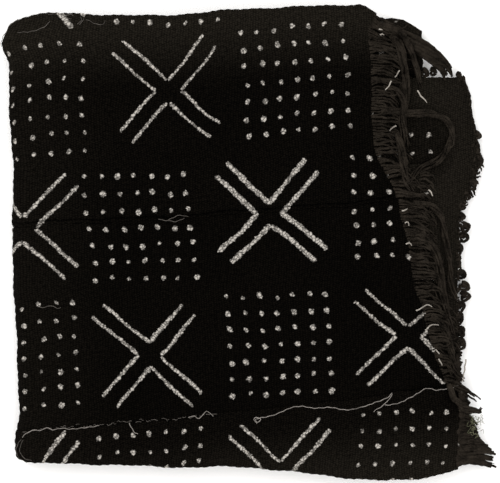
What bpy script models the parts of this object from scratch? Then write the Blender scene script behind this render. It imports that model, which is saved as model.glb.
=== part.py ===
"""Bogolan mud cloth: six handwoven cotton strips, sewn side by side, with fringed ends.

The cloth is folded in three across its strips, then in half twice along them, and lies
flat with its folds at the left, top and bottom and its fringes at the right.
Metres, +Z up. The origin is under the middle of the packet, on the surface it lies on.
"""

import math

import bmesh
import bpy
import numpy as np

# The cloth
STRIP_WIDTH = 0.155  # one handwoven strip, selvedge to selvedge
CLOTH_THICK = 0.0015
PLY_PITCH = 0.0021  # from one ply of a band to the next
BAND_PITCH = 0.0067  # from one band of three plies to the next
SEWN_GAP = 0.0003  # between two strips at a seam, and from a strip to its fringe

# Folds across the packet's length: round wraps at the left, one fold at the right
LEFT_EDGE = -0.1850
RIGHT_FOLD = 0.1315
LEFT_LEAN = 0.0075  # how much further right the left edge lies at its lower end
CORNER_TUCK = 0.0090  # how far a fold line draws in where it goes round a wrap
TUCK_REACH = 0.020
PACKET_WIDTH = 0.360  # between the upper and the lower fold lines
MIDDLE_X = 0.0017  # brings the middle of the whole to x = 0
X_REACH = 0.200  # the two upper bands are measured from here

# The two upper bands run past the right fold and sink towards the surface
SAG_START = 0.126
SAG_END = 0.166
SAG_UPPER = 0.0112
SAG_LOWER = 0.0122
TIP_SAG_START = 0.160
TIP_SAG_END = 0.192
TIP_SAG = 0.0062

# How finely the solids follow their curves
WRAP_STEPS = 6
BEND_STEPS = 5
FLAT_STEPS = 3
UPPER_BAND_X = (-0.150, -0.087, 0.0, 0.087, 0.124, 0.132, 0.140, 0.148, 0.156)
LOWER_BAND_X = (-0.150, -0.087, 0.0, 0.087, 0.112)
END_CLEAR = 0.003  # least length of the last stretch of a strip

# Fringe
BACKING_WIDTH = 0.0020
STRAND_WAVER = 0.0005
DRIFT_REACH = 0.035  # strands drift less the nearer they are to the strip below them
END_WAVER = 0.0010  # how far the end of a strip strays from a straight line
STRAND_SHARE = 0.52  # width of a strand, as a share of the distance between strands
TIP_TAPER = 0.45
SHOWN_STRAND_STEPS = 3
HIDDEN_STRAND_STEPS = 2
MOST_HIDDEN_STRANDS = 20  # a fringe with more strands than this one shows
OUTWARD = {"a": -1, "b": 1}
BEND_LAP = 0.003  # how far strip 3 reaches past the upper fold, to its seam

# Lines along the cloth, a row for each place that it passes on its way from end A, on
# top, to end B. Band: 1 top, 4 lowest, 3 and 2 between. y of the two fold lines and the
# two seams that lie on the outer ply of the band.
LINE_COLUMNS = ("band", "x", "top_fold", "seam_34", "seam_45", "bottom_fold")
LINE_ROWS = (
    (1, 0.190, 0.1790, 0.0390, -0.1085, -0.1705),
    (1, 0.160, 0.1800, 0.0365, -0.1105, -0.1745),
    (1, 0.122, 0.1812, 0.0330, -0.1135, -0.1820),
    (1, 0.087, 0.1806, 0.0290, -0.1175, -0.1806),
    (1, 0.000, 0.1750, 0.0208, -0.1282, -0.1730),
    (1, -0.087, 0.1706, 0.0156, -0.1370, -0.1690),
    (1, -0.160, 0.1716, 0.0118, -0.1433, -0.1674),
    (4, -0.160, 0.1700, 0.0112, -0.1440, -0.1694),
    (4, -0.087, 0.1692, 0.0106, -0.1444, -0.1712),
    (4, 0.060, 0.1690, 0.0092, -0.1456, -0.1722),
    (4, 0.120, 0.1684, 0.0088, -0.1462, -0.1716),
    (3, 0.120, 0.1680, 0.0090, -0.1460, -0.1712),
    (3, 0.000, 0.1690, 0.0100, -0.1452, -0.1700),
    (3, -0.160, 0.1706, 0.0114, -0.1440, -0.1684),
    (2, -0.160, 0.1702, 0.0114, -0.1440, -0.1684),
    (2, 0.000, 0.1692, 0.0090, -0.1462, -0.1684),
    (2, 0.180, 0.1676, 0.0040, -0.1500, -0.1660),
)

# Ends of the strips, a row for each: x where the woven part stops at its upper and its
# lower selvedge, number of strands, their length, and how far their tips drift in y and
# sink.
END_COLUMNS = ("strip", "end", "x_upper", "x_lower", "strands", "length", "drift", "drop")
END_ROWS = (
    (1, "a", 0.0880, 0.0880, 14, 0.022, -0.0040, 0.0008),
    (2, "a", 0.0880, 0.0880, 14, 0.022, -0.0040, 0.0008),
    (3, "a", 0.0880, 0.0945, 36, 0.021, -0.0090, 0.0012),
    (4, "a", 0.1130, 0.1400, 36, 0.022, -0.0085, 0.0012),
    (5, "a", 0.1590, 0.1590, 38, 0.026, -0.0035, 0.0030),
    (6, "a", 0.1330, 0.1330, 14, 0.020, -0.0040, 0.0006),
    (1, "b", 0.1120, 0.1120, 12, 0.014, 0.0010, 0.0004),
    (2, "b", 0.1120, 0.1120, 12, 0.014, 0.0010, 0.0004),
    (3, "b", 0.1120, 0.1120, 12, 0.014, 0.0010, 0.0004),
    (4, "b", 0.1120, 0.1120, 12, 0.014, 0.0010, 0.0004),
    (5, "b", 0.1590, 0.1590, 24, 0.006, 0.0010, 0.0006),
    (6, "b", 0.1620, 0.1650, 24, 0.006, 0.0015, 0.0006),
)

# An end that is far from straight: its x at four places from the upper selvedge down
UNEVEN_ENDS = {(6, "b"): (0.1664, 0.1745, 0.1664, 0.1664)}

# Thick and tangled locks of fringe, each in the place of one strand: which fringe and
# which of its strands, then width, height and turn from one point of its route to the next
LOCK_COLUMNS = ("name", "fringe", "strand", "width", "height", "twist")
LOCKS = (
    ("edge", (3, "a"), 35, 0.0030, 0.0020, 0.3),
    ("tips", (3, "a"), 22, 0.0028, 0.0018, 0.2),
    ("arch", (3, "a"), 17, 0.0046, 0.0026, 0.0),
    ("side", (4, "a"), 0, 0.0032, 0.0018, 0.0),
    ("knot", (4, "a"), 35, 0.0050, 0.0030, 0.2),
    ("fat", (2, "b"), 0, 0.0085, 0.0060, 0.6),
)

# The way each lock lies: place, band it lies by, and height above that band's middle
ROUTE_COLUMNS = ("name", "x", "y", "band", "rise")
LOCK_ROUTES = (
    ("edge", 0.1010, 0.1655, 1, 0.0026),
    ("edge", 0.1090, 0.1620, 1, 0.0034),
    ("edge", 0.1175, 0.1540, 1, 0.0022),
    ("edge", 0.1235, 0.1400, 2, 0.0060),
    ("edge", 0.1275, 0.1240, 2, 0.0052),
    ("tips", 0.1000, 0.1180, 1, 0.0024),
    ("tips", 0.1095, 0.1150, 1, 0.0036),
    ("tips", 0.1155, 0.1080, 1, 0.0050),
    ("tips", 0.1170, 0.0960, 1, 0.0052),
    ("tips", 0.1178, 0.0800, 1, 0.0020),
    ("tips", 0.1190, 0.0640, 1, 0.0006),
    ("arch", 0.1000, 0.0990, 1, 0.0024),
    ("arch", 0.1110, 0.0978, 1, 0.0022),
    ("arch", 0.1230, 0.0976, 2, 0.0058),
    ("arch", 0.1370, 0.0970, 2, 0.0056),
    ("arch", 0.1474, 0.0935, 2, 0.0056),
    ("arch", 0.1530, 0.0840, 2, 0.0056),
    ("arch", 0.1515, 0.0745, 2, 0.0056),
    ("arch", 0.1400, 0.0715, 2, 0.0056),
    ("side", 0.1230, 0.0300, 1, 0.0020),
    ("side", 0.1360, 0.0270, 1, 0.0012),
    ("side", 0.1450, 0.0180, 1, 0.0008),
    ("side", 0.1475, 0.0030, 1, 0.0008),
    ("side", 0.1515, -0.0160, 1, 0.0008),
    ("side", 0.1545, -0.0340, 1, 0.0008),
    ("side", 0.1600, -0.0500, 1, 0.0008),
    ("knot", 0.1465, -0.1065, 1, 0.0056),
    ("knot", 0.1510, -0.1200, 1, 0.0060),
    ("knot", 0.1610, -0.1280, 1, 0.0060),
    ("knot", 0.1720, -0.1290, 1, 0.0058),
    ("knot", 0.1765, -0.1240, 1, 0.0056),
    ("fat", 0.1172, 0.1590, 2, 0.0013),
    ("fat", 0.1260, 0.1560, 2, 0.0044),
    ("fat", 0.1350, 0.1490, 2, 0.0026),
    ("fat", 0.1435, 0.1400, 2, 0.0046),
    ("fat", 0.1490, 0.1290, 2, 0.0087),
    ("fat", 0.1512, 0.1200, 2, 0.0066),
)

# Cloth colours, a row for each strip: the dyed black differs a little
STRIP_TINTS = (
    (0.0102, 0.0089, 0.0085),
    (0.0096, 0.0084, 0.0080),
    (0.0108, 0.0095, 0.0090),
    (0.0090, 0.0079, 0.0075),
    (0.0102, 0.0089, 0.0085),
    (0.0096, 0.0084, 0.0080),
)
FRINGE_COLOR = (0.020, 0.016, 0.013)
CLOTH_ROUGHNESS = 0.95

# Worked out from the sizes above
HALF_THICK = CLOTH_THICK / 2
HALF_BAND = PLY_PITCH + HALF_THICK
HALF_GAP = SEWN_GAP / 2
Z_BAND_4 = HALF_BAND
Z_BAND_3 = Z_BAND_4 + BAND_PITCH
Z_BAND_2 = Z_BAND_3 + BAND_PITCH
Z_BAND_1 = Z_BAND_2 + BAND_PITCH
OUTER_WRAP = (Z_BAND_1 - Z_BAND_4) / 2
INNER_WRAP = BAND_PITCH / 2
X_LEFT = LEFT_EDGE + OUTER_WRAP + HALF_BAND
X_RIGHT = RIGHT_FOLD - INNER_WRAP - HALF_BAND
TOP_BEND = PLY_PITCH / 2
BOTTOM_BEND = PLY_PITCH

# Lengths of the stretches of the cloth's way through the packet, from end A to end B:
# band 1, outer wrap, band 4, right fold, band 3, inner wrap, band 2
STRETCHES = (
    X_REACH - X_LEFT,
    math.pi * OUTER_WRAP,
    X_RIGHT - X_LEFT,
    math.pi * INNER_WRAP,
    X_RIGHT - X_LEFT,
    math.pi * INNER_WRAP,
    X_REACH - X_LEFT,
)
STARTS = tuple(sum(STRETCHES[:i]) for i in range(len(STRETCHES)))
MIDWAY = sum(STRETCHES) / 2


def clear_scene():
    for obj in list(bpy.data.objects):
        bpy.data.objects.remove(obj)


def fabric(name, color):
    material = bpy.data.materials.new(name)
    material.use_nodes = True
    shader = material.node_tree.nodes["Principled BSDF"]
    shader.inputs["Base Color"].default_value = (*color, 1.0)
    shader.inputs["Roughness"].default_value = CLOTH_ROUGHNESS
    shader.inputs["Metallic"].default_value = 0.0
    return material


def make_object(name, points, faces, material):
    """A mesh object whose faces all point outwards."""
    mesh = bpy.data.meshes.new(name)
    mesh.from_pydata(points, [], faces)
    model = bmesh.new()
    model.from_mesh(mesh)
    bmesh.ops.recalc_face_normals(model, faces=model.faces)
    if model.calc_volume(signed=True) < 0:
        bmesh.ops.reverse_faces(model, faces=model.faces)
    model.to_mesh(mesh)
    model.free()
    mesh.materials.append(material)
    obj = bpy.data.objects.new(name, mesh)
    bpy.context.scene.collection.objects.link(obj)
    return obj


def table_rows(columns, rows):
    return [dict(zip(columns, row)) for row in rows]


def ease(value, start, end):
    """0 before start, 1 after end, and a smooth turn between."""
    t = min(max((value - start) / (end - start), 0.0), 1.0)
    return t * t * (3 - 2 * t)


def ease_slope(value, start, end):
    t = min(max((value - start) / (end - start), 0.0), 1.0)
    return 6 * t * (1 - t) / (end - start)


def run_at(band, x):
    """Distance along the cloth's way where this band passes x."""
    if band == 1:
        return X_REACH - x
    if band == 4:
        return STARTS[2] + x - X_LEFT
    if band == 3:
        return STARTS[4] + X_RIGHT - x
    return STARTS[6] + x - X_LEFT


def sinking(x, height, sag, tip_sag):
    """Height and slope of one of the two upper bands, which sink past the right fold."""
    z = height - sag * ease(x, SAG_START, SAG_END) - tip_sag * ease(x, TIP_SAG_START, TIP_SAG_END)
    slope = sag * ease_slope(x, SAG_START, SAG_END) + tip_sag * ease_slope(x, TIP_SAG_START, TIP_SAG_END)
    size = math.hypot(1.0, slope)
    return z, slope / size, 1.0 / size


def around(x_middle, z_middle, radius, angle):
    """Place on a fold's half circle, and the direction out from its middle."""
    out_x, out_z = math.cos(angle), math.sin(angle)
    return x_middle + radius * out_x, z_middle + radius * out_z, out_x, out_z


def way(run):
    """The middle of the band of three plies at this run: x, z and its outward normal."""
    stretch = sum(run >= start for start in STARTS[1:])
    along = run - STARTS[stretch]
    if stretch == 0:
        x = X_REACH - along
        z, normal_x, normal_z = sinking(x, Z_BAND_1, SAG_UPPER, TIP_SAG)
        return x, z, normal_x, normal_z
    if stretch == 1:
        middle = (Z_BAND_1 + Z_BAND_4) / 2
        return around(X_LEFT, middle, OUTER_WRAP, math.pi / 2 + along / OUTER_WRAP)
    if stretch == 2:
        return X_LEFT + along, Z_BAND_4, 0.0, -1.0
    if stretch == 3:
        middle = (Z_BAND_3 + Z_BAND_4) / 2
        return around(X_RIGHT, middle, INNER_WRAP, -math.pi / 2 + along / INNER_WRAP)
    if stretch == 4:
        return X_RIGHT - along, Z_BAND_3, 0.0, 1.0
    if stretch == 5:
        middle = (Z_BAND_2 + Z_BAND_3) / 2
        x, z, out_x, out_z = around(X_LEFT, middle, INNER_WRAP, -math.pi / 2 - along / INNER_WRAP)
        return x, z, -out_x, -out_z
    x = X_LEFT + along
    z, normal_x, normal_z = sinking(x, Z_BAND_2, SAG_LOWER, 0.0)
    return x, z, -normal_x, -normal_z


def in_packet(run, y, depth):
    """World place of a point of the band: run along it, y across, depth from its middle."""
    x, z, normal_x, normal_z = way(run)
    x += depth * normal_x
    lean = LEFT_LEAN * (0.5 - y / PACKET_WIDTH)
    x += lean * (1 - ease(x, LEFT_EDGE, RIGHT_FOLD))
    return x - MIDDLE_X, y, z + depth * normal_z


LINES = table_rows(LINE_COLUMNS, LINE_ROWS)
LINE_RUNS = [run_at(row["band"], row["x"]) for row in LINES]


def line_y(name, run):
    return float(np.interp(run, LINE_RUNS, [row[name] for row in LINES]))


def fold_lines(run):
    """y of the four lines on the band's outer ply, drawn in where it goes round a fold."""
    x = way(run)[0]
    tuck = CORNER_TUCK * max(0.0, 1 - (x - X_LEFT + OUTER_WRAP) / TUCK_REACH) ** 2
    if STARTS[2] < run < STARTS[5]:
        tuck += CORNER_TUCK * max(0.0, 1 - (X_RIGHT + INNER_WRAP - x) / TUCK_REACH) ** 2
    top = line_y("top_fold", run) - tuck
    bottom = line_y("bottom_fold", run) + tuck
    return top, line_y("seam_34", run), line_y("seam_45", run), bottom


def strip_parts(strip, run):
    """One strip's section: flats (y, y, depth, dyed side) and bends (y, depth, radius, turn)."""
    top, seam_34, seam_45, bottom = fold_lines(run)
    top_middle = top - TOP_BEND - HALF_THICK
    bottom_middle = bottom + BOTTOM_BEND + HALF_THICK
    lap_end = top_middle - BEND_LAP
    used = seam_45 - bottom_middle + math.pi * BOTTOM_BEND
    seam_56 = bottom_middle + STRIP_WIDTH - used
    if strip == 1:
        start = lap_end - STRIP_WIDTH - SEWN_GAP
        return [("flat", start, start - STRIP_WIDTH, 0.0, -1)]
    if strip == 2:
        return [("flat", lap_end - SEWN_GAP, lap_end - STRIP_WIDTH, 0.0, -1)]
    if strip == 3:
        return [
            ("flat", seam_34 + HALF_GAP, top_middle, PLY_PITCH, 1),
            ("bend", top_middle, TOP_BEND, TOP_BEND, -1),
            ("lap", top_middle, lap_end, 0.0, -1),
        ]
    if strip == 4:
        return [("flat", seam_34 - HALF_GAP, seam_45 + HALF_GAP, PLY_PITCH, 1)]
    if strip == 5:
        return [
            ("flat", seam_45 - HALF_GAP, bottom_middle, PLY_PITCH, 1),
            ("bend", bottom_middle, 0.0, BOTTOM_BEND, 1),
            ("flat", bottom_middle, seam_56 - HALF_GAP, -PLY_PITCH, -1),
        ]
    start = seam_56 + HALF_GAP
    return [("flat", start, start + STRIP_WIDTH, -PLY_PITCH, -1)]


def across_strip(strip, run, number, share):
    """Middle of the cloth at a share of one part, and the normal of its dyed side."""
    part = strip_parts(strip, run)[number]
    if part[0] == "bend":
        _, y_middle, depth, radius, turn = part
        angle = math.pi / 2 + turn * math.pi * share
        out_y, out_depth = math.cos(angle), math.sin(angle)
        return y_middle + radius * out_y, depth + radius * out_depth, out_y, out_depth
    _, y_start, y_end, depth, side = part
    return y_start + (y_end - y_start) * share, depth, 0.0, side


def both_faces(strip, run, number, share):
    """World places on the dyed face and on the other face of the cloth."""
    y, depth, normal_y, normal_depth = across_strip(strip, run, number, share)
    dyed = in_packet(run, y + HALF_THICK * normal_y, depth + HALF_THICK * normal_depth)
    plain = in_packet(run, y - HALF_THICK * normal_y, depth - HALF_THICK * normal_depth)
    return dyed, plain


def from_upper(strip, number, share):
    """How far a point across a strip lies from its upper selvedge, from 0 to 1."""
    if strip == 3:
        return 1 - share if number == 0 else 0.0
    if strip == 5:
        return share if number == 0 else 1.0
    if strip == 6:
        return 1 - share
    return share


END_TABLE = {(row["strip"], row["end"]): row for row in table_rows(END_COLUMNS, END_ROWS)}


def end_run(strip, end, number, share):
    """Run where this strip's woven part stops, at a point across it."""
    row = END_TABLE[strip, end]
    upper = from_upper(strip, number, share)
    x = row["x_upper"] + (row["x_lower"] - row["x_upper"]) * upper
    corners = [i / FLAT_STEPS for i in range(FLAT_STEPS + 1)]
    if (strip, end) in UNEVEN_ENDS:
        x = float(np.interp(upper, corners, UNEVEN_ENDS[strip, end]))
    elif strip != 5:
        x += END_WAVER * float(np.interp(upper, corners, [math.sin(9.0 * c + strip) for c in corners]))
    return run_at(1 if end == "a" else 2, x)


def part_steps(part):
    return {"flat": FLAT_STEPS, "bend": BEND_STEPS, "lap": 1}[part[0]]


def shared_runs():
    """Places along the way that all strips share, so that their plies stay parallel."""
    runs = [run_at(1, x) for x in reversed(UPPER_BAND_X)]
    runs += [STARTS[1] + STRETCHES[1] * i / WRAP_STEPS for i in range(WRAP_STEPS + 1)]
    runs += [run_at(4, x) for x in LOWER_BAND_X]
    runs += [STARTS[3] + STRETCHES[3] * i / WRAP_STEPS for i in range(WRAP_STEPS + 1)]
    runs += [run_at(3, x) for x in reversed(LOWER_BAND_X)]
    runs += [STARTS[5] + STRETCHES[5] * i / WRAP_STEPS for i in range(WRAP_STEPS + 1)]
    runs += [run_at(2, x) for x in UPPER_BAND_X]
    return runs


def slab_body(rows):
    """Points and faces of a closed slab from rows of (dyed face, plain face) places."""
    points = [place for column in rows for pair in column for place in pair]
    count = len(rows[0])
    faces = []
    for i in range(len(rows) - 1):
        for j in range(count - 1):
            a, b = 2 * (i * count + j), 2 * ((i + 1) * count + j)
            faces.append((a, b, b + 2, a + 2))
            faces.append((a + 1, a + 3, b + 3, b + 1))
        for j in (0, count - 1):
            a, b = 2 * (i * count + j), 2 * ((i + 1) * count + j)
            faces.append((a, a + 1, b + 1, b))
    for i in (0, len(rows) - 1):
        for j in range(count - 1):
            a = 2 * (i * count + j)
            faces.append((a, a + 2, a + 3, a + 1))
    return points, faces


def make_strip(strip):
    """One woven strip in all its folds, with its own end lines."""
    stations = [(0, 0.0)]
    for number, part in enumerate(strip_parts(strip, MIDWAY)):
        steps = part_steps(part)
        stations += [(number, (i + 1) / steps) for i in range(steps)]
    starts = [end_run(strip, "a", *station) for station in stations]
    stops = [end_run(strip, "b", *station) for station in stations]
    between = [run for run in shared_runs() if max(starts) + END_CLEAR < run < min(stops) - END_CLEAR]
    rows = []
    for (number, share), start, stop in zip(stations, starts, stops):
        runs = [start, *between, stop]
        rows.append([both_faces(strip, run, number, share) for run in runs])
    points, faces = slab_body(rows)
    tint = STRIP_TINTS[strip - 1]
    return make_object(f"strip_{strip}", points, faces, fabric(f"dyed_cotton_{strip}", tint))


def fringe_cells(strip, end, strands):
    """The strip's edge cut into cells (part, start, end, strand), strand None for a gap."""
    parts = strip_parts(strip, end_run(strip, end, 0, 0.5))
    lengths = [abs(part[2] - part[1]) if part[0] == "flat" else 0.0 for part in parts]
    cells = []
    strand = 0
    for number, part in enumerate(parts):
        if part[0] != "flat":
            steps = part_steps(part)
            cells += [(number, i / steps, (i + 1) / steps, None) for i in range(steps)]
            continue
        count = round(strands * lengths[number] / sum(lengths))
        margin = (1 - STRAND_SHARE) / 2 / count
        gap_start = 0.0
        for i in range(count):
            strand_start, strand_end = i / count + margin, (i + 1) / count - margin
            cells.append((number, gap_start, strand_start, None))
            cells.append((number, strand_start, strand_end, strand))
            gap_start = strand_end
            strand += 1
        cells.append((number, gap_start, 1.0, None))
    return cells


def waver(number, phase):
    """A small uneven value from -1 to 1 that differs from strand to strand."""
    return math.sin(number * 2.4 + phase) * 0.6 + math.sin(number * 5.1 + 2 * phase) * 0.4


def strand_rings(row, cell):
    """Rings of four corners from a strand's root to its tip, resting in its own layer."""
    strip, end = row["strip"], row["end"]
    number, cell_start, cell_end, strand = cell
    outward = OUTWARD[end]
    middle = (cell_start + cell_end) / 2
    root = end_run(strip, end, number, middle)
    part = strip_parts(strip, root)[number]
    width = abs(part[2] - part[1]) * (cell_end - cell_start)
    length = row["length"] * (1 + 0.10 * waver(strand, 0.3 * strip))
    to_lower_strip = (1 - from_upper(strip, number, middle)) * STRIP_WIDTH
    drift = row["drift"] * min(1.0, to_lower_strip / DRIFT_REACH)
    steps = SHOWN_STRAND_STEPS if row["strands"] > MOST_HIDDEN_STRANDS else HIDDEN_STRAND_STEPS
    rings = []
    for k in range(1, steps + 1):
        share = k / steps
        run = root + outward * (SEWN_GAP + BACKING_WIDTH + length * share)
        y, depth = across_strip(strip, run, number, middle)[:2]
        y += drift * share**1.3 + STRAND_WAVER * waver(strand, strip) * share
        depth += outward * row["drop"] * share
        half_width = width / 2 * (1 - TIP_TAPER * share)
        half_height = HALF_THICK * (1 - TIP_TAPER * share)
        corners = ((-1, 1), (1, 1), (1, -1), (-1, -1))
        rings.append([in_packet(run, y + a * half_width, depth + b * half_height) for a, b in corners])
    return rings


def lock_rings(lock):
    """Rings of four corners along a lock's own route, turned a little from one to the next."""
    route = []
    for point in table_rows(ROUTE_COLUMNS, LOCK_ROUTES):
        if point["name"] == lock["name"]:
            run = run_at(point["band"], point["x"])
            side = 1 if point["band"] == 1 else -1
            route.append(np.array(in_packet(run, point["y"], side * point["rise"])))
    last = len(route) - 1
    rings = []
    for i, here in enumerate(route):
        ahead = route[min(i + 1, last)] - route[max(i - 1, 0)]
        ahead /= np.linalg.norm(ahead)
        side = np.cross(ahead, (0.0, 0.0, 1.0))
        side /= np.linalg.norm(side)
        up = np.cross(side, ahead)
        swell = min(1.0, 0.62 + 0.5 * i) * (1 - TIP_TAPER * (i == last))
        turn = lock["twist"] * i
        ring = []
        for a, b in ((1, 1), (-1, 1), (-1, -1), (1, -1)):
            wide, high = a * swell * lock["width"] / 2, b * swell * lock["height"] / 2
            right = wide * math.cos(turn) - high * math.sin(turn)
            above = wide * math.sin(turn) + high * math.cos(turn)
            ring.append(tuple(here + side * right + up * above))
        rings.append(ring)
    return rings


def matched(corners, before):
    """The four corners in the order that joins them to the ring before without a turn."""
    here = np.array(corners) - np.mean(corners, axis=0)
    there = np.array(before) - np.mean(before, axis=0)
    orders = [[(start + step * k) % 4 for k in range(4)] for start in range(4) for step in (1, -1)]
    best = max(orders, key=lambda order: float(np.sum(here[order] * there)))
    return [corners[k] for k in best]


def make_fringe(row):
    """One closed body: a narrow backing along a strip's end, with strands from its edge."""
    strip, end = row["strip"], row["end"]
    cells = fringe_cells(strip, end, row["strands"])
    stations = [(0, 0.0)] + [(number, cell_end) for number, _, cell_end, _ in cells]
    points = []
    for number, share in stations:
        root = end_run(strip, end, number, share)
        for distance in (SEWN_GAP, SEWN_GAP + BACKING_WIDTH):
            points += both_faces(strip, root + OUTWARD[end] * distance, number, share)
    locks = [lock for lock in table_rows(LOCK_COLUMNS, LOCKS) if lock["fringe"] == (strip, end)]
    locks = {lock["strand"]: lock for lock in locks}
    faces = [(0, 2, 3, 1)]
    for i, cell in enumerate(cells):
        a, b = 4 * i, 4 * (i + 1)
        faces += [(a, b, b + 2, a + 2), (a + 1, a + 3, b + 3, b + 1), (a, a + 1, b + 1, b)]
        ring = [a + 2, b + 2, b + 3, a + 3]
        strand = cell[3]
        rings = []
        if strand is not None:
            rings = lock_rings(locks[strand]) if strand in locks else strand_rings(row, cell)
        for corners in rings:
            first = len(points)
            points += matched(corners, [points[k] for k in ring])
            following = [first, first + 1, first + 2, first + 3]
            for k in range(4):
                m = (k + 1) % 4
                faces.append((ring[k], ring[m], following[m], following[k]))
            ring = following
        faces.append(tuple(ring))
    last = 4 * len(cells)
    faces.append((last, last + 1, last + 3, last + 2))
    name = f"fringe_{strip}{end}"
    return make_object(name, points, faces, fabric(f"{name}_yarn", FRINGE_COLOR))


clear_scene()
for strip_number in range(1, 7):
    make_strip(strip_number)
for end_of_strip in END_TABLE.values():
    make_fringe(end_of_strip)
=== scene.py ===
# %% [markdown]
# # A folded mud cloth
# Bogolan is heavy handwoven cotton, sewn together from narrow strips and dyed black with
# mud, so that its marks stay pale. This one is folded in three across its strips, then in
# half twice along them, with its fringed ends at the right. The CAD model gives the size
# and the layers. This script puts finer cloth, yarn and colour in their places.

# %% The frame, and the size of the CAD model
import math

import bpy
import numpy as np
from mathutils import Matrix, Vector


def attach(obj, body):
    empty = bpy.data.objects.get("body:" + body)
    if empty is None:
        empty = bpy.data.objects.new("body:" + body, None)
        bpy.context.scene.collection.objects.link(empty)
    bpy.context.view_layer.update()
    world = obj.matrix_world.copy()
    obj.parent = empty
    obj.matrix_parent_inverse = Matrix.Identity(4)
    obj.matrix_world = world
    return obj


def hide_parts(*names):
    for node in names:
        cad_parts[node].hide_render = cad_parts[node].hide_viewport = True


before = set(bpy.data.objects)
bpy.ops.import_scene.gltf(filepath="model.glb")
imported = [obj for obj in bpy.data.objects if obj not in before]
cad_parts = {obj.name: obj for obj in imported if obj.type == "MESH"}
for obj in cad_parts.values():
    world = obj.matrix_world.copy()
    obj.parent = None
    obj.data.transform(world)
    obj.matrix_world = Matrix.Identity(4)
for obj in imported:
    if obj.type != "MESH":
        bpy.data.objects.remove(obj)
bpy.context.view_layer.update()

# %% [markdown]
# ## Measuring the packet
# Every piece lies on one folded sheet, so one set of sizes serves for all. A pixel of the
# photograph is 0.76 mm, and a point of it is turned into metres on the surface.

# %% Sizes of the cloth and its folds
PIXEL = 0.00076
MIDDLE_PIXEL = 251, 241.5  # the point of the photograph over the packet's middle
MIDDLE_X = 0.0017
STRIP_WIDTH = 0.155
CLOTH_THICK = 0.0014
PLY_PITCH = 0.0021
BAND_PITCH = 0.0067
HALF_BAND = 0.00285
SEWN_GAP = 0.0003
LEFT_EDGE, RIGHT_FOLD, X_REACH = -0.1850, 0.1315, 0.200
LEFT_LEAN, PACKET_WIDTH = 0.0075, 0.360
CORNER_TUCK, TUCK_REACH = 0.0090, 0.020
SAG_START, SAG_END, SAG_UPPER, SAG_LOWER = 0.126, 0.166, 0.0112, 0.0122
TIP_SAG_START, TIP_SAG_END, TIP_SAG = 0.160, 0.192, 0.0062
Z_BAND = {band: HALF_BAND + BAND_PITCH * (4 - band) for band in (1, 2, 3, 4)}
OUTER_WRAP = (Z_BAND[1] - Z_BAND[4]) / 2
INNER_WRAP = BAND_PITCH / 2
X_LEFT = LEFT_EDGE + OUTER_WRAP + HALF_BAND
X_RIGHT = RIGHT_FOLD - INNER_WRAP - HALF_BAND
TOP_BEND, BOTTOM_BEND = PLY_PITCH / 2, PLY_PITCH
STRETCHES = np.array([
    X_REACH - X_LEFT, math.pi * OUTER_WRAP, X_RIGHT - X_LEFT, math.pi * INNER_WRAP,
    X_RIGHT - X_LEFT, math.pi * INNER_WRAP, X_REACH - X_LEFT,
])
STARTS = np.concatenate([[0.0], np.cumsum(STRETCHES)[:-1]])
print("the cloth's way through the packet is", round(float(STRETCHES.sum()), 3), "m")

# %% [markdown]
# ## The fold map
# A folded cloth is hard to model by hand, because its layers must stay parallel. Here a
# function does it: it takes a distance along the cloth (run), a place across the packet
# (y) and a depth in the band of three layers, and gives the place in the world.

# %% The cloth's way along its length
def numbers(text):
    """Rows of numbers from text, such as "1,2 3,4": a short way to write a long route."""
    return [tuple(float(value) for value in row.split(",")) for row in text.split()]


def ease(value, start, end):
    """0 before start, 1 after end, and a smooth turn between."""
    t = np.clip((value - start) / (end - start), 0.0, 1.0)
    return t * t * (3 - 2 * t)


def ease_slope(value, start, end):
    t = np.clip((value - start) / (end - start), 0.0, 1.0)
    return 6 * t * (1 - t) / (end - start)


def run_at(band, x):
    """Distance along the cloth's way where this band passes x."""
    return {1: X_REACH - x, 4: STARTS[2] + x - X_LEFT, 3: STARTS[4] + X_RIGHT - x}.get(
        band, STARTS[6] + x - X_LEFT)


def sinking(x, height, sag, tip_sag):
    """Height and normal of one of the two upper bands, which sink past the right fold."""
    z = height - sag * ease(x, SAG_START, SAG_END) - tip_sag * ease(x, TIP_SAG_START, TIP_SAG_END)
    slope = sag * ease_slope(x, SAG_START, SAG_END) + tip_sag * ease_slope(x, TIP_SAG_START, TIP_SAG_END)
    size = np.hypot(1.0, slope)
    return x, z, slope / size, 1.0 / size


def around(x_middle, z_middle, radius, angle, side=1):
    """Place on a fold's half circle, and the outward normal of the band there."""
    out_x, out_z = np.cos(angle), np.sin(angle)
    return x_middle + radius * out_x, z_middle + radius * out_z, side * out_x, side * out_z


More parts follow.
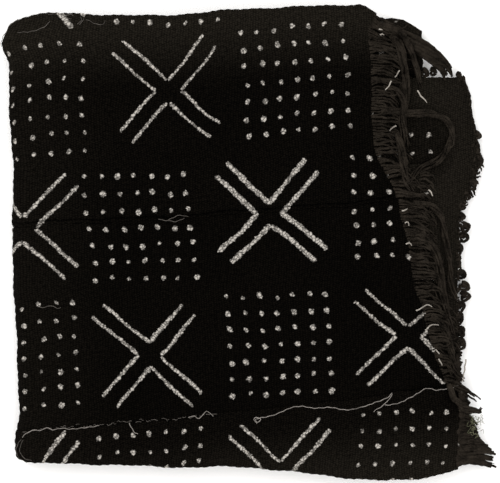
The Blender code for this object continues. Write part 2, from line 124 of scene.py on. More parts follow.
def way(run):
    """The middle of the band of three plies at this run: x, z and its outward normal."""
    run = np.asarray(run, float)
    stretch = np.clip(np.searchsorted(STARTS, run, side="right") - 1, 0, 6)
    along = run - STARTS[stretch]
    one = np.ones_like(run)
    lower = sinking(X_LEFT + along, Z_BAND[2], SAG_LOWER, 0.0)
    places = [
        sinking(X_REACH - along, Z_BAND[1], SAG_UPPER, TIP_SAG),
        around(X_LEFT, (Z_BAND[1] + Z_BAND[4]) / 2, OUTER_WRAP, math.pi / 2 + along / OUTER_WRAP),
        (X_LEFT + along, Z_BAND[4] * one, 0 * one, -one),
        around(X_RIGHT, (Z_BAND[3] + Z_BAND[4]) / 2, INNER_WRAP, -math.pi / 2 + along / INNER_WRAP),
        (X_RIGHT - along, Z_BAND[3] * one, 0 * one, one),
        around(X_LEFT, (Z_BAND[2] + Z_BAND[3]) / 2, INNER_WRAP, -math.pi / 2 - along / INNER_WRAP, -1),
        (lower[0], lower[1], -lower[2], -lower[3]),
    ]
    masks = [stretch == i for i in range(7)]
    return [np.select(masks, [place[k] * one for place in places]) for k in range(4)]


def lean_at(x, y):
    return LEFT_LEAN * (0.5 - y / PACKET_WIDTH) * (1 - ease(x, LEFT_EDGE, RIGHT_FOLD))


def seen_at(pixel_x, pixel_y):
    """A point of the photograph in metres from the packet's middle."""
    return (pixel_x - MIDDLE_PIXEL[0]) * PIXEL, (MIDDLE_PIXEL[1] - pixel_y) * PIXEL


def unleaned(pixel_x, pixel_y):
    """The same point before the packet's left side leans."""
    x_seen, y = seen_at(pixel_x, pixel_y)
    x = x_seen
    for _ in range(4):
        x = x_seen - lean_at(x, y)
    return x, y


# %% [markdown]
# ## Uneven, as a real cloth is
# The layers of a real packet aren't flat: they rise and dip together. The same smooth
# waves move every piece, and they grow with the height, so the underside stays flat.

# %% Soft waves that all layers share
# Each wave's size as a share of the height, its radians a metre along x and y, and its phase
WAVES = ((0.022, 31.0, 9.0, 0.4), (0.020, -12.0, 27.0, 2.1),
         (0.012, 58.0, -41.0, 4.4), (0.010, 23.0, 71.0, 1.3))
# Waves of the outline: how far it strays, its radians a metre, and its phase
EDGE_WAVES = ((0.0007, 46.0, 0.9), (0.0005, 97.0, 2.2), (0.00030, 233.0, 0.5), (0.00028, 1010.0, 1.4))
# The packet is lower towards its folds: by this share of its height, over these distances
EDGE_DROOP, LEFT_DROOP_REACH, SIDE_DROOP = 0.16, 0.045, (0.145, 0.185)
# Where the left edge bulges: its middle in y, its reach, and by how much
BULGES = ((0.152, 0.0115, 0.0062), (-0.153, 0.015, 0.0034), (0.120, 0.026, 0.0024), (0.000, 0.032, 0.0028))
BULGE_FADE = 0.09
# The top layers drop at the upper right, where the woven part ends: x, y and height of the drop
CORNER_DROP, DROP_X, DROP_Y, DROP_Z = 0.0108, (0.079, 0.101), (0.145, 0.180), (0.0188, 0.0204)


def softened(points):
    """Moves points with the packet's own soft waves."""
    x, y, z = points[..., 0], points[..., 1], points[..., 2]
    for middle, reach, size in BULGES:
        x = x - size * np.exp(-((y - middle) / reach) ** 2) * (1 - ease(x, LEFT_EDGE, LEFT_EDGE + BULGE_FADE))
    y = y - CORNER_DROP * ease(x, *DROP_X) * ease(y, *DROP_Y) * ease(z, *DROP_Z)
    lift = sum(size * np.sin(a * x + b * y + phase) for size, a, b, phase in WAVES)
    lift = lift - EDGE_DROOP * (1 - ease(x, LEFT_EDGE, LEFT_EDGE + LEFT_DROOP_REACH)) ** 2
    lift = lift - EDGE_DROOP * 0.6 * ease(abs(y), *SIDE_DROOP) ** 2
    edge_x = sum(size * np.sin(rate * y + phase) for size, rate, phase in EDGE_WAVES)
    edge_y = sum(size * np.sin(rate * x + 1.7 * phase) for size, rate, phase in EDGE_WAVES)
    return np.stack([x + edge_x, y + edge_y, z * (1 + lift)], axis=-1)


def in_packet(run, y, depth):
    """World place of a point of the band: run along it, y across, depth from its middle."""
    x, z, normal_x, normal_z = way(run)
    x = x + depth * normal_x
    x = x + lean_at(x, y)
    return softened(np.stack([x - MIDDLE_X, y + 0 * x, z + depth * normal_z], axis=-1))


print("half way along, the cloth is at", in_packet(0.6, 0.0, 0.0).round(4))

# %% Lines along the cloth: its two fold lines and the two seams on the outer ply, in mm
LINE_COLUMNS = ("band", "x", "top_fold", "seam_34", "seam_45", "bottom_fold")
LINE_ROWS = numbers("""
1,190,179,39,-108.5,-170.5
1,160,180,36.5,-110.5,-174.5
1,122,182.8,33,-113.5,-184.6
1,87,182.4,29,-117.5,-180.8
1,0,176.8,20.8,-128.2,-173
1,-87,172.2,15.6,-137,-170.8
1,-160,173.8,11.8,-143.3,-170
4,-160,170,11.2,-144,-169.4
4,-87,169.2,10.6,-144.4,-171.2
4,60,169,9.2,-145.6,-172.2
4,120,171.2,8.8,-146.2,-171.6
3,120,171.2,9,-146,-171.2
3,0,169,10,-145.2,-170
3,-160,170.6,11.4,-144,-168.4
2,-160,170.2,11.4,-144,-168.4
2,0,169.2,9,-146.2,-168.4
2,180,167.6,4,-150,-166
""")
LINES = [dict(zip(LINE_COLUMNS, row)) for row in LINE_ROWS]
LINE_RUNS = [float(run_at(row["band"], row["x"] / 1000)) for row in LINES]
LINE_BLUR = np.linspace(-0.022, 0.022, 9)  # rounds the bends between the rows of the table


def line_y(name, run):
    values = [row[name] / 1000 for row in LINES]
    return sum(np.interp(run + shift, LINE_RUNS, values) for shift in LINE_BLUR) / len(LINE_BLUR)


def fold_lines(run):
    """y of the four lines on the band's outer ply, drawn in where it goes round a fold."""
    x = way(run)[0]
    tuck = CORNER_TUCK * 0.45 * np.maximum(0.0, 1 - (x - X_LEFT + OUTER_WRAP) / TUCK_REACH) ** 2
    right = CORNER_TUCK * np.maximum(0.0, 1 - (X_RIGHT + INNER_WRAP - x) / TUCK_REACH) ** 2
    tuck = tuck + right * ((run > STARTS[2]) & (run < STARTS[5]))
    top = line_y("top_fold", run) - tuck
    return top, line_y("seam_34", run), line_y("seam_45", run), line_y("bottom_fold", run) + tuck


# %% [markdown]
# ## Six strips in one section
# Across the packet the cloth lies in three plies: the outer one with two seams, then a
# tight bend at each fold line. Each strip is a list of parts: flat stretches and bends.

# %% Where each strip lies in the section
BEND_LAP, HALF_PLY = 0.003, 0.00075
FLAT, BEND = "flat", "bend"


def strip_parts(strip, run):
    """Flats (y, y, depth, dyed side) and bends (y, depth, radius, turn) of one strip."""
    top, seam_34, seam_45, bottom = fold_lines(run)
    gap = SEWN_GAP / 2
    top_middle = top - TOP_BEND - HALF_PLY
    bottom_middle = bottom + BOTTOM_BEND + HALF_PLY
    lap_end = top_middle - BEND_LAP
    seam_56 = bottom_middle + STRIP_WIDTH - (seam_45 - bottom_middle + math.pi * BOTTOM_BEND)
    if strip == 1:
        start = lap_end - STRIP_WIDTH - SEWN_GAP
        return [(FLAT, start, start - STRIP_WIDTH, 0.0, -1)]
    if strip == 2:
        return [(FLAT, lap_end - SEWN_GAP, lap_end - STRIP_WIDTH, 0.0, -1)]
    if strip == 3:
        return [(FLAT, seam_34 + gap, top_middle, PLY_PITCH, 1),
                (BEND, top_middle, TOP_BEND, TOP_BEND, -1),
                (FLAT, top_middle, lap_end, 0.0, -1)]
    if strip == 4:
        return [(FLAT, seam_34 - gap, seam_45 + gap, PLY_PITCH, 1)]
    if strip == 5:
        return [(FLAT, seam_45 - gap, bottom_middle, PLY_PITCH, 1),
                (BEND, bottom_middle, 0.0, BOTTOM_BEND, 1),
                (FLAT, bottom_middle, seam_56 - gap, -PLY_PITCH, -1)]
    start = seam_56 + gap
    return [(FLAT, start, start + STRIP_WIDTH, -PLY_PITCH, -1)]


def across_strip(strip, run, number, share):
    """Middle of the cloth at a share of one part, and the normal of its dyed side."""
    part = strip_parts(strip, run)[number]
    if part[0] == BEND:
        _, y_middle, depth, radius, turn = part
        angle = math.pi / 2 + turn * math.pi * share
        out_y, out_depth = np.cos(angle), np.sin(angle)
        return y_middle + radius * out_y, depth + radius * out_depth, out_y, out_depth
    _, y_start, y_end, depth, side = part
    return y_start + (y_end - y_start) * share, depth, 0.0, side


def part_lengths(strip, run):
    return [abs(part[2] - part[1]) if part[0] == FLAT else math.pi * part[3]
            for part in strip_parts(strip, run)]


def width_at(strip, run, number, share):
    """Distance from the cloth's first selvedge, along the cloth, for the pattern."""
    lengths = part_lengths(strip, run)
    used = (sum(lengths[:number]) + lengths[number] * share) / sum(lengths) * STRIP_WIDTH
    return strip * STRIP_WIDTH - used if strip <= 3 else (strip - 1) * STRIP_WIDTH + used


# %% Where the woven part of each strip stops, its strands, and their drift and drop, in mm
END_COLUMNS = ("strip", "end", "x_upper", "x_lower", "strands", "length", "drift", "drop")
END_ROWS = (
    (1, "a", 88, 88, 40, 22, -6, 2),
    (2, "a", 88, 88, 44, 23, -8, 2),
    (3, "a", 88, 94.5, 80, 25, -12.5, 3.4),
    (4, "a", 113, 140, 78, 26, -12.5, 3),
    (5, "a", 159, 159, 150, 27, -4, 3.4),
    (6, "a", 129.5, 129.5, 60, 14, -9, 1.4),
    *[(strip, "b", 112, 112, 26, 14, 1, 0.4) for strip in (1, 2, 3, 4)],
    (5, "b", 159, 159, 56, 7, -2, 0.6),
    (6, "b", 162, 165, 60, 4.5, -2, 0.6),
)
ENDS = {row[:2]: dict(zip(END_COLUMNS, row)) for row in END_ROWS}
for row in ENDS.values():
    row.update({name: row[name] / 1000 for name in ("x_upper", "x_lower", "length", "drift", "drop")})
# Ends that are far from straight: distance from the upper selvedge as a share, and x in mm
END_LINES = {
    (3, "a"): "0,95 0.05,93.8 0.1,90.3 0.19,91 0.4,92.6 0.61,94.8 0.7,95.4 0.78,97.3 0.855,103 0.93,109 "
              "1,112",
    (4, "a"): "0,113.2 0.09,114.8 0.18,117.8 0.27,121.2 0.36,122.9 0.45,126.2 0.55,131.2 0.63,133.6 "
              "0.73,136.2 0.82,140.2 0.9,145.2 1,150",
    (6, "b"): "0,163.2 0.1,168.8 0.24,173.5 0.34,176.2 0.45,175.6 0.57,169 0.68,160 0.85,157.5 1,159",
}
# Waves of the other ends: size, radians across a strip, and shift from strip to strip
END_WOBBLE = ((0.0007, 21.0, 1), (0.0004, 57.0, 2))


def from_upper(strip, number, share):
    """How far a point across a strip lies from its upper selvedge, from 0 to 1."""
    if strip == 3:
        return 1 - share if number == 0 else 0.0
    if strip == 5:
        return share if number == 0 else 1.0
    return 1 - share if strip == 6 else share


def end_run(strip, end, number, share):
    """Run where this strip's woven part stops, at a point across it."""
    row = ENDS[strip, end]
    upper = from_upper(strip, number, share)
    x = row["x_upper"] + (row["x_lower"] - row["x_upper"]) * upper
    for size, rate, shift in END_WOBBLE:
        x = x + size * math.sin(rate * upper + shift * strip)
    if (strip, end) in END_LINES:
        shares, places = zip(*numbers(END_LINES[strip, end]))
        x = float(np.interp(upper, shares, [place / 1000 for place in places]))
    return float(run_at(1 if end == "a" else 2, x))


for strip in range(1, 7):
    span = end_run(strip, "b", 0, 0.5) - end_run(strip, "a", 0, 0.5)
    print(f"strip {strip} is {span:.3f} m long")

# %% [markdown]
# ## Shader maths as Python
# A material is a graph of nodes, and long sums in it are hard to read. A small class
# wraps an output, so that a formula is written as a formula and still becomes nodes.

# %% A wire that can be used in sums
class Wire:
    """The output of a node, for use in Python expressions."""

    def __init__(self, graph, socket):
        self.graph, self.socket = graph, socket

    def math(self, operation, *others, first=None):
        values = (self, *others) if first is None else (first, self, *others)
        return self.graph.node("ShaderNodeMath", {"operation": operation}, dict(enumerate(values)))

    def __add__(self, other): return self.math("ADD", other)
    def __sub__(self, other): return self.math("SUBTRACT", other)
    def __mul__(self, other): return self.math("MULTIPLY", other)
    def __truediv__(self, other): return self.math("DIVIDE", other)
    def __rsub__(self, other): return self.math("SUBTRACT", first=other)
    def __abs__(self): return self.math("ABSOLUTE")
    __radd__, __rmul__ = __add__, __mul__

    def below(self, limit): return self.math("LESS_THAN", limit)
    def least(self, other): return self.math("MINIMUM", other)
    def most(self, other): return self.math("MAXIMUM", other)
    def is_(self, number): return self.math("COMPARE", number, 0.5)
    def within(self, low, high): return self.most(low).least(high)

    def soft(self, low, high):
        """0 at low, 1 at high, and smooth between; low may be above high."""
        inputs = {"Value": self, "From Min": low, "From Max": high}
        return self.graph.node("ShaderNodeMapRange", {"interpolation_type": "SMOOTHSTEP"}, inputs, "Result")


class Graph:
    """A tree of nodes, of a material or of geometry."""

    def __init__(self, tree):
        self.tree = tree

    def raw(self, kind, settings=None, inputs=None):
        """Makes a node: its settings first, then its inputs."""
        made = self.tree.nodes.new(kind)
        for key, value in (settings or {}).items():
            setattr(made, key, value)
        for key, value in (inputs or {}).items():
            if isinstance(value, Wire):
                self.tree.links.new(value.socket, made.inputs[key])
            else:
                made.inputs[key].default_value = value
        return made

    def node(self, kind, settings=None, inputs=None, output=0):
        return Wire(self, self.raw(kind, settings, inputs).outputs[output])

    def noise(self, vector, scale, detail=2.0, rough=0.5, output="Fac"):
        inputs = {"Vector": vector, "Scale": scale, "Detail": detail, "Roughness": rough}
        return self.node("ShaderNodeTexNoise", {"noise_dimensions": "3D"}, inputs, output)


class Shader(Graph):
    """One material and the nodes in it."""

    def __init__(self, name):
        self.material = bpy.data.materials.new(name)
        self.material.use_nodes = True
        super().__init__(self.material.node_tree)
        self.tree.nodes.clear()

    def vector(self, x, y, z=0.0):
        return self.node("ShaderNodeCombineXYZ", None, {"X": x, "Y": y, "Z": z})

    def parts(self, vector):
        made = self.raw("ShaderNodeSeparateXYZ", None, {"Vector": vector})
        return [Wire(self, made.outputs[k]) for k in range(3)]

    def chance(self, vector):
        """Three even random values for each place, as wires."""
        settings = {"noise_dimensions": "3D"}
        return self.parts(self.node("ShaderNodeTexWhiteNoise", settings, {"Vector": vector}, "Color"))

    def mix(self, share, first, second):
        return self.node("ShaderNodeMix", {"data_type": "RGBA"}, {"Factor": share, 6: first, 7: second}, 2)

    def finish(self, color, roughness, height=None, depth=0.0003, specular=0.5):
        """Ends the material in one surface shader, with bump where a height is given."""
        inputs = {"Base Color": color, "Roughness": roughness, "Specular IOR Level": specular}
        if height is not None:
            bump = self.node("ShaderNodeBump", None, {"Height": height, "Distance": depth, "Strength": 1.0})
            inputs["Normal"] = bump
        surface = self.node("ShaderNodeBsdfPrincipled", None, inputs)
        self.raw("ShaderNodeOutputMaterial", None, {"Surface": surface})
        return self.material


# %% [markdown]
# ## The painted pattern
# A chequerboard of two marks: a square of seven by seven dots, and an open double cross of
# eight strokes. The painter set them by eye, so a regular board gives each mark its
# square, and a chart moves the ones on show to where they were seen.

# %% The chart of marks, in pixels of the photograph
MARK_PITCH_X, MARK_PITCH_Y = 130 * PIXEL, 128 * PIXEL
# Each mark: its middle x and y, its size, how much its rows rise to the right and its columns lean
MARKS = numbers("""
30,-8,1.3,0.05,0.05 164,-22,0.95,0.03,0.05 281,-60,1,0.05,0.05 410,-75,1,0.05,0.05
33,109,0.88,0.07,0.03 168,95,0.84,0.08,0.08 296,83,1,0.14,0.09 425,76,1,0.05,0.05
25,229,1.14,0,0.02 140,228,1.03,0.045,0.11 270,215,1.42,0.05,0.07 406,209,1.06,-0.02,0.05
25,358,0.98,0.06,0 150,355,0.98,0.03,0.07 280,345,1.06,0.07,0.04 408,337,1.05,-0.05,0
36,489,1.1,0.15,0.17 152,484,0.95,0.11,0.03 283,473,1.1,0.06,0.05 411,463,0.92,0,0
""")


def on_cloth(pixel_x, pixel_y, band):
    """Place on the flat cloth of a point of the photograph, on the ply that shows."""
    x, y = unleaned(pixel_x, pixel_y)
    run = float(run_at(band, x))
    _, seam_34, seam_45, _ = (float(line) for line in fold_lines(np.array(run)))
    if band == 2:
        start = float(strip_parts(6, np.array(run))[0][1])
        return run, 5 * STRIP_WIDTH + y - start
    if y > seam_34:
        return run, 3 * STRIP_WIDTH - (y - seam_34)
    if y > seam_45:
        return run, 3 * STRIP_WIDTH + (seam_34 - y) / (seam_34 - seam_45) * STRIP_WIDTH
    return run, 4 * STRIP_WIDTH + seam_45 - y


BOARD_U, BOARD_V = on_cloth(16, 235, 1)  # middle of one square of the board, with a cross in it
BOARD_COLUMN, BOARD_ROW = 3, 5  # its column and row, counted from the cloth's first corner
# The board as it lies on the last stretch, from a square of dots on the flap at the right
BACK_U, BACK_V = on_cloth(378, 103, 2)
BACK_COLUMN, BACK_ROW = 12, 9
FLAP_U = float(run_at(2, 0.095))
ARCH_SHADOW_U, ARCH_SHADOW_V = on_cloth(421, 146, 2)  # painted shadow under the arch lock: the flap stays dark round its last dots
TURN_U = 0.62  # the board's two halves meet here, out of sight
# On the flap the cloth is plain but for the last dots of one square
LAST_MARK_U, FLAP_V = float(run_at(2, seen_at(436, 0)[0])), on_cloth(420, 128, 2)[1]
BACK_SHIFT_U = BACK_U - BOARD_U - (BACK_COLUMN - BOARD_COLUMN) * MARK_PITCH_X
BACK_SHIFT_V = BACK_V - BOARD_V - (BACK_ROW - BOARD_ROW) * MARK_PITCH_Y

chart, row_shifts = [], {}
for first in range(0, len(MARKS), 4):
    placed = [(*on_cloth(x, y, 1), size) for x, y, size, _, _ in MARKS[first:first + 4]]
    row = 3 + first // 4
    moves = [u - BOARD_U - (3 - k - BOARD_COLUMN) * MARK_PITCH_X for k, (u, v, size) in enumerate(placed)]
    row_shifts[row] = sum(moves) / 4
    for k, (u, v, size) in enumerate(placed):
        shift_v = v - BOARD_V - (row - BOARD_ROW) * MARK_PITCH_Y
        x, y, _, rise, lean = MARKS[first + k]
        # The threads rise to the right too, so only the rest is turned
        threads = (on_cloth(x + 20, y, 1)[1] - on_cloth(x - 20, y, 1)[1]) / (40 * PIXEL)
        chart.append((row * 16 + 3 - k, moves[k] - row_shifts[row], shift_v, size, rise - threads, lean))
        moved = [round(1000 * value, 1) for value in chart[-1][1:3]]
        print("mark", MARKS[first + k][:2], "moved", moved, "mm")

# %% [markdown]
# ## Mud-dyed cotton
# The cloth is coarse plain weave. Its weft ribs stand out, and the pale marks are speckled
# because the hollows between the floats stay dark. All of it is worked out from the flat
# cloth's own coordinates, so it follows every fold.

# %% The dyed side of the cloth
DOT_PITCH, DOT_RADIUS = 16.9 * PIXEL, 2.5 * PIXEL
STROKE = 1.5 * PIXEL  # half the width of a brush stroke
USUAL_LEAN = 0.05
WAVER, DOT_RAGGED, STROKE_RAGGED, SOFT_EDGE = 0.0026, 0.0028, 0.0030, 0.0004
# The strokes of a cross in one quarter: from near its middle to near its corner, in pixels
STROKES = (((13.2, 1.5), (50, 37.5)), ((1.8, 12.8), (38.5, 49)))
RIB, YARN = 0.00205, 0.00170  # spacing of the weft and of the warp
MATT = 0.01  # dull cotton has almost no shine, which would turn its black grey under a white sky


def pattern(s, u, v):
    """How much of each place is left pale, from 0 to 1."""
    back = 1.0 - u.below(TURN_U)
    board_v = v - back * BACK_SHIFT_V - BOARD_V
    row = (board_v / MARK_PITCH_Y).math("ROUND")
    board_u = u - back * BACK_SHIFT_U - BOARD_U
    for index, shift in row_shifts.items():
        board_u = board_u - row.is_(index - BOARD_ROW) * shift
    column = (board_u / MARK_PITCH_X).math("ROUND")
    number = (row + BOARD_ROW) * 16 + (column + BOARD_COLUMN)
    move_u, move_v, size, turn, lean = 0.0, 0.0, 1.0, 0.0, USUAL_LEAN
    for index, shift_u, shift_v, wide, turned, leaning in chart:
        here = number.is_(index)
        move_u, move_v = here * shift_u + move_u, here * shift_v + move_v
        size, turn = here * (wide - 1.0) + size, here * turned + turn
        lean = here * (leaning - USUAL_LEAN) + lean
    waver_u = s.noise(s.vector(u, v, 3.0), 30.0, 1.0) - 0.5
    waver_v = s.noise(s.vector(u, v, 7.0), 30.0, 1.0) - 0.5
    p = column * MARK_PITCH_X + move_u - board_u + waver_u * WAVER
    q = board_v - row * MARK_PITCH_Y - move_v + waver_v * WAVER
    p, q = p - q * lean, q + p * turn
    # Seven rows of seven dots, each a little out of its place
    i = (p / DOT_PITCH).math("ROUND").within(-3.0, 3.0)
    j = (q / DOT_PITCH).math("ROUND").within(-3.0, 3.0)
    jitter = s.chance(s.vector(i + number * 3.1, j, 2.0))
    across = p - (i + (jitter[0] - 0.5) * 0.17) * DOT_PITCH
    down = q - (j + (jitter[1] - 0.5) * 0.17) * DOT_PITCH
    ragged = s.noise(s.vector(u, v, 1.0), 520.0, 2.0, 0.6) - 0.5
    far = (across * across + down * down * 0.9).math("SQRT") + ragged * DOT_RAGGED
    radius = (jitter[2] * 0.42 + 0.66) * size * DOT_RADIUS
    dots = (far - radius).soft(SOFT_EDGE, -SOFT_EDGE)
    # Eight strokes, drawn in one quarter and mirrored by taking absolute values
    quarter = s.chance(s.vector(p.math("SIGN"), q.math("SIGN"), number))
    side = abs(p) * (1.03 - quarter[0] * 0.09) + (quarter[1] - 0.5) * 0.0015
    rise = abs(q) * (1.03 - quarter[1] * 0.09) + (quarter[2] - 0.5) * 0.0015
    near = 1.0
    for (x0, y0), (x1, y1) in STROKES:
        dx, dy = (x1 - x0) * PIXEL, (y1 - y0) * PIXEL
        from_x, from_y = side - x0 * PIXEL, rise - y0 * PIXEL
        t = ((from_x * dx + from_y * dy) / (dx * dx + dy * dy)).within(0.0, 1.0)
        off_x, off_y = from_x - t * dx, from_y - t * dy
        near = (off_x * off_x + off_y * off_y).math("SQRT").least(near)
    brushed = near + ragged * STROKE_RAGGED - size * STROKE * (1.0 + waver_v * 1.3)
    cross = brushed.soft(SOFT_EDGE, -SOFT_EDGE)
    kind = ((row + column) * 0.5).math("FRACT").below(0.25)
    shown = u.below(TURN_U).most(u.below(LAST_MARK_U) * v.below(FLAP_V) * (1.0 - u.below(FLAP_U)))
    return (kind * cross + (1.0 - kind) * dots) * shown


def weave(s, u, v):
    """Height of the woven surface from 0 to 1: weft ribs, broken where the warp passes."""
    wander = s.noise(s.vector(u, v, 5.0), 60.0, 2.0) - 0.5
    along = (u + wander * 0.0026) / RIB
    over = along.math("FLOOR") * 0.5 + v / YARN
    rib = abs((along * math.pi).math("SINE"))
    knuckle = (over * 2 * math.pi).math("SINE") * 0.5 + 0.5
    fuzz = s.noise(s.vector(u * 0.8, v, 9.0), 620.0, 3.0, 0.75)
    return (rib * (0.16 + knuckle * 0.84) * 0.58 + fuzz * 0.75 - 0.05).within(0.0, 1.0)


def shade(red, green, blue, tone=1.0):
    return red * tone, green * tone, blue * tone, 1


def black_ground(s, u, v, height, tone):
    """Mud black: darkest in the hollows, browner and lighter on worn ribs, and lighter and browner near the
    folds, the left edge and the flap with dust and painted sheen, save for a painted shadow under the arch
    lock.
    """
    cloudy = s.noise(s.vector(u, v, 0.0), 14.0, 4.0, 0.6)
    dusty = s.noise(s.vector(u, v * 1.6, 4.0), 330.0, 3.0, 0.75)
    # Lighter, browner cloth near the two fold lines, at the left edge and on the flap: partly dust, partly
    # painted sheen where the cloth turns down at the folds
    left = u.soft(0.290, 0.390) * u.below(TURN_U)
    # Painted shadow under the arch lock: round the flap's last dots the lighter brown is held back, so the
    # cloth stays dark
    arch_shadow_u, arch_shadow_v = u - ARCH_SHADOW_U, (v - ARCH_SHADOW_V) * 0.8
    arch_shadow = (arch_shadow_u * arch_shadow_u + arch_shadow_v * arch_shadow_v).math("SQRT").soft(0.030, 0.012)
    dust_and_sheen = (v.soft(0.372, 0.318) + v.soft(0.630, 0.690) + left * 0.30).least(1.0) * (1.0 - arch_shadow * 0.75)
    deep = s.mix(cloudy, shade(0.0004, 0.00035, 0.0003, tone), shade(0.0012, 0.0010, 0.0008, tone))
    worn = s.mix(cloudy, shade(0.0046, 0.0038, 0.0029, tone), shade(0.0125, 0.0100, 0.0075, tone))
    rubbed = dusty * 0.75 + height * 0.45
    color = s.mix(rubbed.soft(0.42, 1.0), deep, worn)
    brown = s.mix(rubbed.soft(0.38, 0.95), shade(0.0025, 0.0021, 0.0016), shade(0.0148, 0.0125, 0.0093))
    return s.mix(dust_and_sheen, color, brown), dusty


def mud_cloth(name, tone):
    s = Shader(name)
    u, v, _ = s.parts(s.node("ShaderNodeUVMap", {"uv_map": "cloth"}))
    height = weave(s, u, v)
    black, dusty = black_ground(s, u, v, height, tone)
    # The pale marks show on the raised floats of the weave, each about two millimetres long
    floats = {"Vector": s.vector(u * 0.85, v, 6.0), "Scale": 440.0, "Randomness": 0.8}
    grain = s.node("ShaderNodeTexVoronoi", {"feature": "DISTANCE_TO_EDGE"}, floats, output="Distance")
    marks = pattern(s, u, v)
    pale = marks * (grain.soft(0.00, 0.23) * 0.84 + (height + dusty).soft(0.50, 1.25) * 0.28 - 0.02)
    cream = s.mix(dusty, shade(0.29, 0.268, 0.240), shade(0.49, 0.460, 0.418))
    return s.finish(s.mix(pale.within(0.0, 1.0), black, cream), 0.93, height, 0.00045, MATT)


# %% The plain back, the yarn of the fringe, and pale sewing thread
def plain_back():
    s = Shader("plain_back")
    u, v, _ = s.parts(s.node("ShaderNodeUVMap", {"uv_map": "cloth"}))
    height = weave(s, u, v)
    return s.finish(black_ground(s, u, v, height, 1.4)[0], 0.95, height, 0.0006, MATT)


def yarn(name, dark, light):
    """Twisted cotton: darker hollows, and lighter fibres on top."""
    s = Shader(name)
    place = s.node("ShaderNodeTexCoord", output="Object")
    coarse = s.noise(place, 120.0, 3.0, 0.6)
    fine = s.noise(place, 900.0, 3.0, 0.7)
    color = s.mix((coarse * 0.6 + fine * 0.6).soft(0.35, 0.85), shade(*dark), shade(*light))
    return s.finish(color, 0.92, fine, 0.0004, 2 * MATT)


BACK = plain_back()
FRINGE = yarn("fringe_yarn", (0.0006, 0.0005, 0.0004), (0.0255, 0.0205, 0.0155))
THREAD = yarn("pale_thread", (0.09, 0.082, 0.073), (0.30, 0.275, 0.25))
WISP = yarn("grey_wisp", (0.030, 0.027, 0.024), (0.12, 0.108, 0.095))
PAINT = yarn("painted_yarn", (0.12, 0.105, 0.09), (0.40, 0.37, 0.325))
LINT = yarn("green_lint", (0.06, 0.065, 0.035), (0.17, 0.17, 0.11))
DYED = {strip: mud_cloth(f"mud_cloth_{strip}", tone)
        for strip, tone in zip(range(1, 7), (0.6, 0.6, 0.55, 0.5, 0.7, 0.8))}
print(len(DYED[3].node_tree.nodes), "nodes in one mud cloth")

# %% [markdown]
# ## Weaving the strips
# Each strip is a closed thin slab: a grid on its dyed face, one on its back, and a narrow
# rim. The grid is fine on the layers that show and coarse where it is tucked away.

# %% Stations along the cloth and across each strip
def shared_runs():
    """Places along the way that all strips share, so that their plies stay parallel."""
    spans = [
        (run_at(1, 0.199), STARTS[1], 172), (STARTS[1], STARTS[2], 22), (STARTS[2], STARTS[3], 34),
        (STARTS[3], STARTS[4], 14), (STARTS[4], STARTS[5], 34), (STARTS[5], STARTS[6], 14),
        (STARTS[6], run_at(2, 0.075), 26), (run_at(2, 0.075), run_at(2, 0.199), 60),
    ]
    return np.unique(np.concatenate([np.linspace(a, b, n + 1) for a, b, n in spans]).round(6))


RUNS = shared_runs()
STEPS = {1: (26,), 2: (26,), 3: (66, 8, 2), 4: (74,), 5: (36, 10, 40), 6: (60,)}
RIM = 0.0016  # the selvedge is rounded over this width
PART_WIDTH = 0.08  # about the width of one part of a folded strip
SELVEDGE = (0.35, 0.78, 1.0)  # thickness at the first three stations, as a share


def stations(strip):
    """(part, share) across the strip, closer together at its two selvedges."""
    # Each part after the first starts where the last one ended
    places = [(number, float(share)) for number, steps in enumerate(STEPS[strip])
              for share in np.linspace(0, 1, steps + 1)[number > 0:]]
    width = STRIP_WIDTH if len(STEPS[strip]) == 1 else PART_WIDTH
    first = [(0, 0.0), (0, RIM * 0.3 / width), (0, RIM / width)]
    last_part = len(STEPS[strip]) - 1
    if strip == 3:
        return first + places[1:]
    end = 1 - RIM / width, 1 - RIM * 0.3 / width
    return first + places[1:-1] + [(last_part, end[0]), (last_part, end[1]), (last_part, 1.0)]


def thickness(strip, count):
    """Half the cloth's thickness at each station: it is rounded off at the selvedges."""
    half = np.full(count, CLOTH_THICK / 2)
    half[:3] *= SELVEDGE
    if strip != 3:
        half[-3:] *= SELVEDGE[::-1]
    return half


SLACK, PUCKER, PUCKER_REACH = 0.00018, 0.00030, 0.006


def ribs(u, v, strip):
    """Small rises of the top ply: slack waves between the wefts, and puckers at a seam."""
    slack = SLACK * np.sin(61.0 * u + 2.0 * np.sin(23.0 * v)) * np.sin(83.0 * v + strip)
    from_seam = np.minimum(v % STRIP_WIDTH, STRIP_WIDTH - v % STRIP_WIDTH)
    return slack + PUCKER * np.exp(-from_seam / PUCKER_REACH) * np.sin(430.0 * u + 3 * np.sin(51.0 * u))


# Soft pleats pressed into the flap: from one point of the photograph to another, height and width
PLEATS = (
    (447, 168, 445, 226, 0.0011, 0.0024), (454, 160, 452, 216, 0.0010, 0.0020),
    (461, 150, 459, 205, 0.0009, 0.0020), (470, 96, 476, 128, 0.0008, 0.0030),
    (436, 205, 440, 330, 0.0010, 0.0045), (452, 240, 450, 330, 0.0008, 0.0035),
)


def pleats(u, v):
    """Height of the flap's pleats above its flat cloth."""
    total = 0 * u
    for from_x, from_y, to_x, to_y, height, width in PLEATS:
        (u0, v0), (u1, v1) = on_cloth(from_x, from_y, 2), on_cloth(to_x, to_y, 2)
        along_u, along_v = u1 - u0, v1 - v0
        t = ((u - u0) * along_u + (v - v0) * along_v) / (along_u**2 + along_v**2)
        near = np.hypot(u - u0 - np.clip(t, 0, 1) * along_u, v - v0 - np.clip(t, 0, 1) * along_v)
        total = total + height * np.exp(-((near / width) ** 2))
    return total


